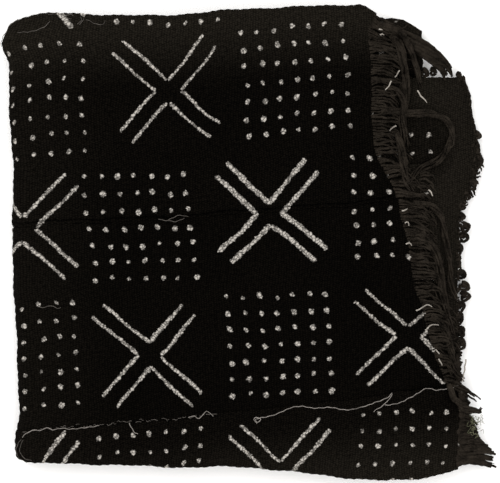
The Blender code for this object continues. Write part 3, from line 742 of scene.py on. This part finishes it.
def weave_strip(strip):
    places = stations(strip)
    halves = thickness(strip, len(places))
    starts = [end_run(strip, "a", *place) for place in places]
    stops = [end_run(strip, "b", *place) for place in places]
    between = RUNS[(RUNS > max(starts) + 0.002) & (RUNS < min(stops) - 0.002)]
    faces_of, uv_of = [], []
    for (number, share), start, stop, half in zip(places, starts, stops, halves):
        run = np.concatenate([[start], between, [stop]])
        y, depth, normal_y, normal_depth = across_strip(strip, run, number, share)
        v = width_at(strip, run, number, share) + 0 * run
        half_here = np.full(len(run), half)
        half_here[[0, -1]] *= 0.6
        rise = ribs(run, v, strip) * (normal_depth > 0.5) * (run < STARTS[1])
        if strip == 6:
            rise = rise + pleats(run, v) * (run > STARTS[6] + 0.2)
        dyed = in_packet(run, y + half_here * normal_y, depth + (half_here + rise) * normal_depth)
        plain = in_packet(run, y - half_here * normal_y, depth - half_here * normal_depth)
        faces_of.append((dyed, plain))
        uv_of.append(np.stack([run, v], axis=-1))
    columns, rows = len(places), len(between) + 2
    points = np.concatenate([np.array([pair[k] for pair in faces_of]).reshape(-1, 3) for k in (0, 1)])
    uv = np.array(uv_of).reshape(-1, 2)
    grid = np.arange(columns * rows).reshape(columns, rows)
    a, b, c, d = grid[:-1, :-1], grid[1:, :-1], grid[1:, 1:], grid[:-1, 1:]
    quads = np.stack([a, b, c, d], axis=-1).reshape(-1, 4)
    ring = np.concatenate([grid[0, :-1], grid[:-1, -1], grid[-1, :0:-1], grid[:0:-1, 0]])
    after = np.roll(ring, -1)
    back = columns * rows
    rim = np.stack([ring, after, after + back, ring + back], axis=-1)
    faces = np.concatenate([quads, quads[:, ::-1] + back, rim[:, ::-1]])
    return points, faces, np.concatenate([uv, uv]), len(quads)


def linked(name, data):
    """A new object in the scene."""
    obj = bpy.data.objects.new(name, data)
    bpy.context.scene.collection.objects.link(obj)
    return obj


def solid_object(name, points, faces, uv, plain_from, materials):
    mesh = bpy.data.meshes.new(name)
    mesh.from_pydata(points.tolist(), [], faces.tolist())
    layer = mesh.uv_layers.new(name="cloth")
    layer.data.foreach_set("uv", uv[faces.reshape(-1)].astype(np.float32).reshape(-1))
    for material in materials:
        mesh.materials.append(material)
    slots = np.zeros(len(faces), np.int32)
    slots[plain_from:] = 1
    mesh.polygons.foreach_set("material_index", slots)
    mesh.polygons.foreach_set("use_smooth", np.ones(len(faces), bool))
    mesh.update()
    return linked(name, mesh)


cloths = {}
for strip in range(1, 7):
    cloths[strip] = solid_object(f"cloth_{strip}", *weave_strip(strip), (DYED[strip], BACK))
    print(cloths[strip].name, len(cloths[strip].data.polygons), "faces")

# %% [markdown]
# ## Yarn, grown by Geometry Nodes
# Every strand of fringe is the same idea: a line, a little crooked, with a round section
# that thins towards its tip. Lines are laid out from a table and the fold map, and one node
# tree turns them all into yarn. Its inputs say how crooked, how thin and how many sides.

# %% The yarn tree
def yarn_tree():
    tree = bpy.data.node_groups.new("yarn", "GeometryNodeTree")
    g, face, sockets = Graph(tree), tree.interface, {}
    for name, kind in (("Geometry", "Geometry"), ("Waver", "Float"), ("Taper", "Float"), ("Step", "Float"),
                       ("Sides", "Int"), ("Seed", "Float"), ("Material", "Material")):
        made = face.new_socket(name, in_out="INPUT", socket_type=f"NodeSocket{kind}")
        sockets[name] = made.identifier
    face.new_socket("Geometry", in_out="OUTPUT", socket_type="NodeSocketGeometry")
    given = {socket.name: Wire(g, socket) for socket in g.raw("NodeGroupInput").outputs}
    # The line, cut into even steps
    curve = g.node("GeometryNodeMeshToCurve", None, {"Mesh": given["Geometry"]})
    curve = g.node("GeometryNodeResampleCurve", {"mode": "LENGTH"}, {"Curve": curve, "Length": given["Step"]})
    share = g.node("GeometryNodeSplineParameter", output="Factor")
    # Crooked: a noise moves its points, less near the root
    place = g.node("GeometryNodeInputPosition")
    place = g.node("ShaderNodeVectorMath", {"operation": "ADD"}, {0: place, 1: given["Seed"]})
    crooked = g.noise(place, 160.0, 1.0, output="Color")
    centred = g.node("ShaderNodeVectorMath", {"operation": "SUBTRACT"}, {0: crooked, 1: (0.5, 0.5, 0.5)})
    grown = given["Waver"] * (share * 6.0).least(1.0)
    offset = g.node("ShaderNodeVectorMath", {"operation": "SCALE"}, {0: centred, "Scale": grown})
    curve = g.node("GeometryNodeSetPosition", None, {"Geometry": curve, "Offset": offset})
    # Thick and thin: lumpy all along, and tapered at the tip
    swell = g.noise(place, 330.0, 1.0).math("MULTIPLY_ADD", 0.7, 0.65)
    thick = g.node("GeometryNodeInputNamedAttribute", {"data_type": "FLOAT"}, {"Name": "thick"}, "Attribute")
    radius = thick * swell * (1.0 - given["Taper"] * share.math("POWER", 3.0))
    curve = g.node("GeometryNodeSetCurveRadius", None, {"Curve": curve, "Radius": radius})
    ring = g.node("GeometryNodeCurvePrimitiveCircle", None, {"Resolution": given["Sides"], "Radius": 1.0})
    solid = g.raw("GeometryNodeCurveToMesh", None, {"Curve": curve, "Profile Curve": ring, "Fill Caps": True})
    if "Scale" in solid.inputs:
        tree.links.new(radius.socket, solid.inputs["Scale"])
    solid = g.node("GeometryNodeSetShadeSmooth", None, {"Geometry": Wire(g, solid.outputs[0])})
    solid = g.node("GeometryNodeRealizeInstances", None, {"Geometry": solid})
    solid = g.node("GeometryNodeSetMaterial", None, {"Geometry": solid, "Material": given["Material"]})
    g.raw("NodeGroupOutput", None, {"Geometry": solid})
    return tree, sockets


YARN_TREE, YARN_SOCKETS = yarn_tree()


def spun(name, lines, **values):
    """One object of yarn from lines of points, each with the radius of its strand."""
    points, edges, thick = [], [], []
    for line, radius in lines:
        first = len(points)
        points += [tuple(map(float, point)) for point in line]
        edges += [(first + k, first + k + 1) for k in range(len(line) - 1)]
        thick += [radius] * len(line)
    mesh = bpy.data.meshes.new(name + "_lines")
    mesh.from_pydata(points, edges, [])
    mesh.attributes.new("thick", "FLOAT", "POINT").data.foreach_set("value", np.array(thick, np.float32))
    obj = linked(name, mesh)
    modifier = obj.modifiers.new("yarn", "NODES")
    modifier.node_group = YARN_TREE
    for key, value in {"Step": 0.0013, "Seed": 1.0, "Material": FRINGE, **values}.items():
        modifier[YARN_SOCKETS[key]] = value
    bpy.context.view_layer.update()
    seen = obj.evaluated_get(bpy.context.evaluated_depsgraph_get())
    result = bpy.data.meshes.new_from_object(seen)
    obj.modifiers.clear()
    obj.data = result
    obj.data.name = name
    return obj


# %% [markdown]
# ## The fringe
# The warp ends of each strip are left long. On top they trail to the right and droop, and
# a few are thick tangled locks. The strands of a row lean the same way, not all alike.

# %% Lines of fringe from the table of ends
rng = np.random.default_rng(5)
OUTWARD = {"a": -1, "b": 1}
LINE_POINTS = 15
STRAND_RADIUS, FUZZ_RADIUS = 0.00096, 0.00022
CURL, RIPPLE, LIFT = 0.0016, 0.0011, (-0.0004, 0.0017)
# Ends whose strands change on the way down: (place down the end, length as a share, drift)
REACH = {
    (4, "a"): ((0.0, 1.0, -0.0125), (0.72, 1.0, -0.0125), (0.88, 0.62, -0.0090), (1.0, 0.42, -0.0070)),
    (5, "a"): ((0.0, 0.28, -0.002), (0.26, 0.34, -0.004), (0.46, 0.60, -0.009), (0.67, 0.80, -0.007),
               (0.85, 1.16, -0.004), (1.0, 1.12, -0.005)),
    (6, "b"): ((0.0, 0.12, 0.0), (0.33, 0.12, 0.0), (0.40, 1.0, -0.0020), (1.0, 1.0, -0.0020)),
}
HIDDEN_LENGTH = 0.45  # strands on the hidden part of a folded end are shorter, out of the way
TIDY = (5, "a")  # the strands of this end hang thick and even


def strand_lines(row):
    """Strands of one end: they leave it straight, then bend down together and overlap."""
    strip, end = row["strip"], row["end"]
    parts = strip_parts(strip, np.array(end_run(strip, end, 0, 0.5)))
    lengths = [float(abs(part[2] - part[1])) if part[0] == FLAT else 0.0 for part in parts]
    share = np.linspace(0, 1, LINE_POINTS)
    shown, tidy = row["strands"] > 50, (strip, end) == TIDY
    lines = []
    for number, part in enumerate(parts):
        if part[0] != FLAT:
            continue
        count = max(2, round(row["strands"] * lengths[number] / sum(lengths)))
        for i in range(count + (count // 3 if shown else 0)):
            fuzz = i >= count
            at = rng.uniform(0.01, 0.99) if fuzz else (i + 0.5 + rng.uniform(-0.35, 0.35)) / count
            root = end_run(strip, end, number, at)
            upper = from_upper(strip, number, at)
            length = row["length"] * rng.uniform(0.72, 1.15)
            if number:
                length = length * (HIDDEN_LENGTH * 0.45 if tidy else HIDDEN_LENGTH)
            to_lower = (1 - upper) * STRIP_WIDTH
            drift = row["drift"] * min(1.0, 0.35 + to_lower / 0.035) * rng.uniform(0.45, 1.35)
            if strip == 3 and upper < 0.16:
                drift, length = drift - 0.010 * (1 - upper / 0.16), length * 0.85
            if (strip, end) in REACH and number == 0:
                down, reach, sideways = zip(*REACH[strip, end])
                spread = rng.uniform(-0.08, 0.06) if tidy else rng.uniform(-0.25, 0.15)
                length = row["length"] * np.interp(upper, down, reach) * (1 + spread)
                stray = (1.2 if tidy else 4.0) * abs(spread) * rng.uniform(-1, 1)
                drift = np.interp(upper, down, sideways) * (1 + stray)
            bend = rng.uniform(0.9, 1.45) if abs(row["drift"]) > 0.005 else 0.5
            run = root + OUTWARD[end] * (length * np.sin(share * bend) / math.sin(min(bend, 1.5)) - 0.0015)
            y, depth = across_strip(strip, run, number, at)[:2]
            curl = rng.uniform(-1, 1) * CURL * np.sin(share * rng.uniform(3, 7))
            ripple = rng.uniform(0.2, 1) * RIPPLE
            curl = curl + ripple * np.sin(share * rng.uniform(9, 15) + at * 31.0) * share**0.5
            # Neighbours are pulled together into locks
            pull = 0.0016 * math.sin(at * 39.0 + strip) + 0.0012 * math.sin(at * 83.0)
            if tidy:
                curl, pull = curl * 0.35, pull * 0.4
            y = y + drift * share**2.1 + curl + pull * share
            lift = rng.uniform(*LIFT) * np.sin(np.pi * np.minimum(share * 1.25, 1))
            depth = depth + OUTWARD[end] * row["drop"] * share**1.5 * rng.uniform(0.7, 1.2)
            depth = depth - OUTWARD[end] * lift * (number == 0)
            if fuzz and end == "b":
                continue
            radius = FUZZ_RADIUS if fuzz else STRAND_RADIUS * rng.uniform(0.66, 1.16) * (1 if shown else 0.7)
            radius = radius * (1.35 if tidy else 1.0)
            lines.append((in_packet(run, y, depth), radius))
    return lines


fringes = {key: strand_lines(row) for key, row in ENDS.items()}
print({f"{strip}{end}": len(lines) for (strip, end), lines in fringes.items()}, "strands")

# %% [markdown]
# ## Long and tangled locks
# Where several ends hang together they twist into a lock. Each one here is a bundle of
# strands turned round a route that was followed in the photograph.

# %% The locks and their routes
# Each lock: its name, fringe and strands, their radius, spread and height in mm, and its turns,
# then its route: x, y, the band that it lies over, and its rise over it, in mm
LOCKS = (
    ("edge", (3, "a"), 5, 1.15, 1.8, 1, 1.2,
     "96,174,1,2.6 104,172.5,1,3 112,166,1,3 118.5,155,1,2.2 123.5,140,2,6 127.5,124,2,5.2 129,116,2,5"),
    ("tips", (3, "a"), 3, 1, 1.4, 0.9, 1,
     "100,118,1,2.4 109.5,115,1,3.6 115.5,108,1,5 117,96,1,5.2 117.8,80,1,2 119,64,1,0.6"),
    ("fall", (3, "a"), 6, 1.05, 2.6, 1, 0.8,
     "106,161,1,2 113,148,1,1.6 116,130,1,1 117,112,1,1.4 116.5,93,1,1.6 117.5,76,1,1.2"),
    ("last", (3, "a"), 5, 1.05, 2.6, 1, 0.7,
     "111,82,1,3.4 115,70,1,3 115,57,1,3 118.5,45,1,3.4 124,37,1,3"),
    ("arch", (3, "a"), 5, 1.35, 2, 1.2, 1.3,
     "100,99,1,2.4 111,97.8,1,2.2 123,97.6,2,5.8 137,97,2,5.6 147.4,93.5,2,5.6 153,84,2,5.6 151.5,74.5,2,5.6 "
     "140,71.5,2,5.6"),
    ("tail", (3, "a"), 5, 1.05, 2.4, 1, 0.8,
     "153,82,2,4.6 147,68,2,4.8 138,60,2,5.2 129,56,2,6.2 123,50,1,1 119,43,1,1.6"),
    ("side", (4, "a"), 4, 1.05, 1.7, 0.9, 1.6,
     "123,30,1,2 136,27,1,1.2 145,18,1,0.8 147.5,3,1,0.8 151.5,-16,1,0.8 154.5,-34,1,0.8 160,-50,1,0.8"),
    ("drop", (4, "a"), 5, 1.05, 2.6, 1, 0.8,
     "129,8,1,1.8 139,-8,1,1.4 144,-26,1,1.4 148,-44,1,1.2 152,-62,1,1.4 156,-80,1,1.4"),
    ("long", (4, "a"), 5, 1.05, 2.6, 1, 0.9,
     "137,-56,1,2 148,-70,1,1.8 153,-86,1,1.6 156,-100,1,2 164,-109,1,2.6"),
    ("knot", (4, "a"), 6, 1.25, 2.1, 1.3, 1,
     "149,-109,1,4.6 154,-121.5,1,5.6 162,-128.5,1,6 170,-130.4,1,5.8 174.5,-129,1,5.6"),
    ("tuft", (4, "a"), 5, 0.95, 2.8, 1.2, 0.4,
     "146,-105,1,3 155,-110,1,3.4 164,-116.5,1,3.4 174.5,-124,1,3"),
    ("fat", (2, "b"), 10, 1.9, 5.2, 2, 0.35,
     "115,159,2,1 124,152.5,2,3 131.5,146,2,3.6 138.3,139.5,2,4.6 144.4,132.6,2,7.6 149,123.5,2,6.6"),
)


def smooth_line(points, count):
    """A smooth curve through the points of a route."""
    points = np.asarray(points)
    padded = np.concatenate([[2 * points[0] - points[1]], points, [2 * points[-1] - points[-2]]])
    places = []
    for at in np.linspace(0, len(points) - 1 - 1e-9, count):
        k, t = int(at), at - int(at)
        a, b, c, d = padded[k:k + 4]
        squared, cubed = 2 * a - 5 * b + 4 * c - d, 3 * b - a - 3 * c + d
        places.append(0.5 * (2 * b + (c - a) * t + squared * t**2 + cubed * t**3))
    return np.array(places)


def bundle(line, strands, radius, spread, height, turns):
    """Strands that wind round a line."""
    ahead = np.gradient(line, axis=0)
    ahead /= np.linalg.norm(ahead, axis=1)[:, None]
    side = np.cross(ahead, (0.0, 0.0, 1.0))
    side /= np.linalg.norm(side, axis=1)[:, None]
    up = np.cross(side, ahead)
    share = np.linspace(0, 1, len(line))[:, None]
    lines = []
    for k in range(strands):
        angle = 2 * math.pi * (k / strands + turns * share) + rng.uniform(-0.4, 0.4)
        reach = rng.uniform(0.55, 1.0) * np.minimum(1.0, 0.4 + 4 * share)
        keep = max(4, int(len(line) * rng.uniform(0.86, 1.0)))
        wound = line + (side * np.cos(angle) * spread + up * np.sin(angle) * height) * reach
        lines.append((wound[:keep], radius * rng.uniform(0.85, 1.1)))
    return lines


for _, key, strands, radius, spread, height, turns, route in LOCKS:
    places = [in_packet(run_at(band, x / 1000), y / 1000, (1 if band == 1 else -1) * rise / 1000)
              for x, y, band, rise in numbers(route)]
    sizes = [value / 1000 for value in (radius, spread, height)]
    fringes[key] += bundle(smooth_line(places, 40), strands, *sizes, turns)

# %% [markdown]
# ## Loops at the end of the flap
# The under flap ends in loops of yarn, not in straight strands: each leaves the edge,
# turns along it and comes back. They are flattened ovals of uneven size, one in another.

# %% Loops along the flap's edge
# Each loop: its middle x and y, its half width and half height, all in pixels, and its turn
LOOPS = numbers("""
482,134,2.6,3,0.5 479,147,4.2,6.5,0.2 480,160,4.6,7.5,-0.2 474,172,4.2,6,-0.3 475,184,4,6.5,-0.3
469,195,4,5,-0.5 464,206,3,5,-0.5 462,217,4.5,4,0.6 467,228,4.6,4.5,0.9 465,238,4.2,4.5,0.2
460,250,3.6,5,0 459,262,3.4,5.5,0.1 464,276,4.2,4,0.7 468,288,5,4.2,1 469,298,4.4,4,0.3
464,309,4,5,-0.2 463,321,3.4,5.5,0 464,334,3.2,5,0.2 464,347,3.4,4.6,0.1 425,72,3.2,4,0.6
433,71,2.6,3.4,0 461,75,1.8,4.6,0.1
""")
LOOP_RADIUS = 0.00130


def flap_place(pixel_x, pixel_y, rise=0.0):
    """Place over the flap, from a point of the photograph."""
    x, y = seen_at(pixel_x, pixel_y)
    return in_packet(run_at(2, x), y, -rise)


for number, (middle_x, middle_y, half_width, half_height, turn) in enumerate(LOOPS):
    # Each has two smaller ones in it: size, shift to the left and down, and height
    for size, left, down, high in ((1.0, 0.0, 0.0, 0.0), (0.72, 0.8, 1.6, 0.0016), (0.40, 1.6, -0.8, 0.0004)):
        angle = np.linspace(-2.9, 2.9, 22) + turn
        grow = size + 0.10 * np.sin(3 * angle + number)
        x = middle_x + (half_width * np.cos(angle) - left) * grow
        y = middle_y + half_height * np.sin(angle) * grow + down
        rise = 0.0006 + high + 0.0007 * np.sin(2 * angle + number)
        places = np.array([flap_place(*point) for point in zip(x, y, rise)])
        fringes[6, "b"].append((places, LOOP_RADIUS))

# Strands that don't show are straighter and have fewer faces
FINE = {"Waver": 0.0020, "Step": 0.0013, "Sides": 7}
COARSE = {"Waver": 0.0006, "Step": 0.003, "Sides": 5}
for key, lines in fringes.items():
    look = {"Taper": 0.55, "Seed": float(key[0]), **(FINE if len(lines) > 50 else COARSE)}
    if key == TIDY:
        look.update(Waver=0.0010, Taper=0.3)
    fringes[key] = spun(f"yarn_{key[0]}{key[1]}", lines, **look)
    print(fringes[key].name, len(fringes[key].data.polygons), "faces")

# %% [markdown]
# ## Loose ends
# A fine pale sewing thread has come loose along the lower seam, grey wisps lie on the top
# and at the left corners, and a few strands have pale flecks. A little green lint hangs in
# the fringe at the lower right. All are yarn from the same tree.

# %% Threads, wisps, pale flecks and lint
def top_place(pixel_x, pixel_y, rise=0.0):
    """Place over the top ply, from a point of the photograph."""
    x, y = unleaned(pixel_x, pixel_y)
    return in_packet(run_at(1, x), y, PLY_PITCH + CLOTH_THICK / 2 + rise)


def drawn(points, rise, detail):
    """A smooth line over the cloth through points of the photograph."""
    smooth = smooth_line(np.array(points, float), detail * len(points))
    return np.array([top_place(x, y, rise) for x, y in smooth])


def routes(text):
    return [numbers(route) for route in text.split("|")]


# Routes in pixels of the photograph, drawn and parted by bars
PALE_ROUTES = routes("""
27,437 31,432 37,430 42,432 47,429 55,431 62,429 72,430 82,429 90,427 99,425 | 187,417 192,415 197,418
201,414 205,411 209,414 212,417 | 256,424 252,421 255,418 259,420 256,423 254,420 266,417 282,411 298,407
314,408 330,407 345,408 360,406 374,402 386,398 392,394 388,400 380,406 372,411 | 383,405 392,405 401,403
410,398 417,394 425,389 435,391 443,390 450,389 456,387 461,391 463,397 | 128,423 131,428 134,432 138,434
""")
GREY_ROUTES = routes("""
23,31 29,31 36,31 43,30 48,27 51,23 | 85,20 91,22 98,24 103,23 104,20 | 80,26 82,23 83,19 | 78,25 81,22
80,18 | 60,14 66,18 71,20 | 158,218 166,219 173,216 180,214 188,216 | 168,219 177,220 184,217 | 40,308
46,309 52,307 58,309 62,308 | 9,30 6,34 5,39 7,44 | 11,26 7,30 5,36 | 20,19 15,20 11,24 10,29 | 48,16 53,15
57,16 60,19 | 66,16 70,15 73,17 | 13,22 10,27 11,33 | 26,439 22,446 20,452 24,458 30,462 | 28,440 25,448
27,456 34,461
""")
PAINTED_ROUTES = routes("""
399,72 397,75 394,78 | 391,82 388,86 385,90 | 417,91 419,95 422,98 426,103 | 378,20 380,19 382,20 | 380,28
382,27 384,29 | 397,127 394,128 391,132 | 427,190 429,193 431,197 | 402,212 405,211 407,210 | 404,224
407,223 408,227 | 405,245 409,244 411,246 | 417,311 422,308 427,305 431,308 | 424,331 429,327 434,325
438,326 | 434,350 436,352 438,355 | 438,360 439,363 441,366 | 467,361 465,371 462,384
""")
# What is left of the stitches along the lower seam: short bits of thread, none alike
stitches = []
for x in np.arange(28, 214, 5.5):
    x, y = x + rng.uniform(-1.5, 1.5), 431 - (x - 30) * 0.096 + rng.uniform(-1.0, 1.0)
    step, tall = rng.uniform(1.0, 2.2), rng.uniform(-1.6, 1.6)
    stitches.append(((x, y), (x + step, y - tall), (x + 2 * step, y + tall * rng.uniform(0.2, 1.0)),
                     (x + 2.6 * step, y)))
lint_routes = []
for _ in range(34):
    x, y = rng.uniform(471, 481), rng.uniform(418, 437)
    turn, length = rng.uniform(0, 6.28), rng.uniform(2, 5)
    lint_routes.append([(x, y), *((x + length * math.cos(angle), y + length * math.sin(angle))
                                  for angle in (turn, turn + 1.2))])
# Each piece: its routes, their height over the cloth, their radius, and the yarn's inputs
LOOSE = {
    "sewing_thread": (PALE_ROUTES, 0.0007, 0.00030, dict(Waver=0.0006, Taper=0.2, Sides=5, Material=THREAD)),
    "wisps": (GREY_ROUTES + stitches, 0.0006, 0.00024, dict(Waver=0.0010, Taper=0.3, Sides=5, Material=WISP)),
    "painted_strands": (PAINTED_ROUTES, 0.0013, 0.00052,
                        dict(Waver=0.0006, Taper=0.4, Sides=6, Material=PAINT)),
    "lint": (lint_routes, 0.0012, 0.00016, dict(Waver=0.0008, Taper=0.2, Sides=4, Material=LINT)),
}
extras = [spun(name, [(drawn(route, rise, 4 if name == "lint" else 6), radius) for route in lines], **look)
          for name, (lines, rise, radius, look) in LOOSE.items()]
print([(obj.name, len(obj.data.polygons)) for obj in extras])

# %% [markdown]
# ## Handing the pieces to the frame
# Each piece hangs on the frame's root, and the CAD part that it stands for is hidden.

# %% Hanging each piece on the root, and hiding the CAD part it stands for
for obj in (*cloths.values(), *fringes.values(), *extras):
    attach(obj, "root")
for strip, obj in cloths.items():
    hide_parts(f"strip_{strip}")
for (strip, end), obj in fringes.items():
    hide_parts(f"fringe_{strip}{end}")
for strip, obj in cloths.items():
    length = end_run(strip, "b", 0, 0.5) - end_run(strip, "a", 0, 0.5)

# %% [markdown]
# ## Floor, light and camera
# The photograph was taken from straight above on a white ground with soft light all
# round. A white floor, a pale sky and two large lamps give the same look.

# %% The stage
def area_light(name, place, size, power):
    light = bpy.data.lights.new(name, "AREA")
    light.shape, light.size, light.energy = "SQUARE", size, power
    obj = linked(name, light)
    obj.location = place
    obj.rotation_euler = (-Vector(place)).to_track_quat("-Z", "Y").to_euler()


mesh = bpy.data.meshes.new("floor")
mesh.from_pydata([(-4, -4, -0.0003), (4, -4, -0.0003), (4, 4, -0.0003), (-4, 4, -0.0003)], [], [(0, 1, 2, 3)])
mesh.materials.append(Shader("white_floor").finish(shade(0.93, 0.925, 0.92), 0.8))
floor = linked("floor", mesh)

world = bpy.data.worlds.new("studio")
bpy.context.scene.world = world
world.use_nodes = True
sky = world.node_tree.nodes["Background"].inputs
sky["Color"].default_value, sky["Strength"].default_value = (1.0, 0.99, 0.98, 1), 1.36
area_light("key", (-0.9, 0.9, 1.6), 1.2, 11.0)
area_light("fill", (1.0, -0.4, 1.8), 1.4, 5.0)

camera_height, cloth_top, sensor_width, seen_width = 1.6, 0.026, 36.0, 500 * PIXEL
camera = bpy.data.cameras.new("camera")
camera.lens = sensor_width * (camera_height - cloth_top) / seen_width
camera.sensor_width = sensor_width
camera_object = linked("camera", camera)
camera_object.location = (-PIXEL - MIDDLE_X, 0.0, camera_height)
bpy.context.scene.camera = camera_object
bpy.context.scene.view_settings.view_transform = "Standard"
print("lens", round(camera.lens, 1))
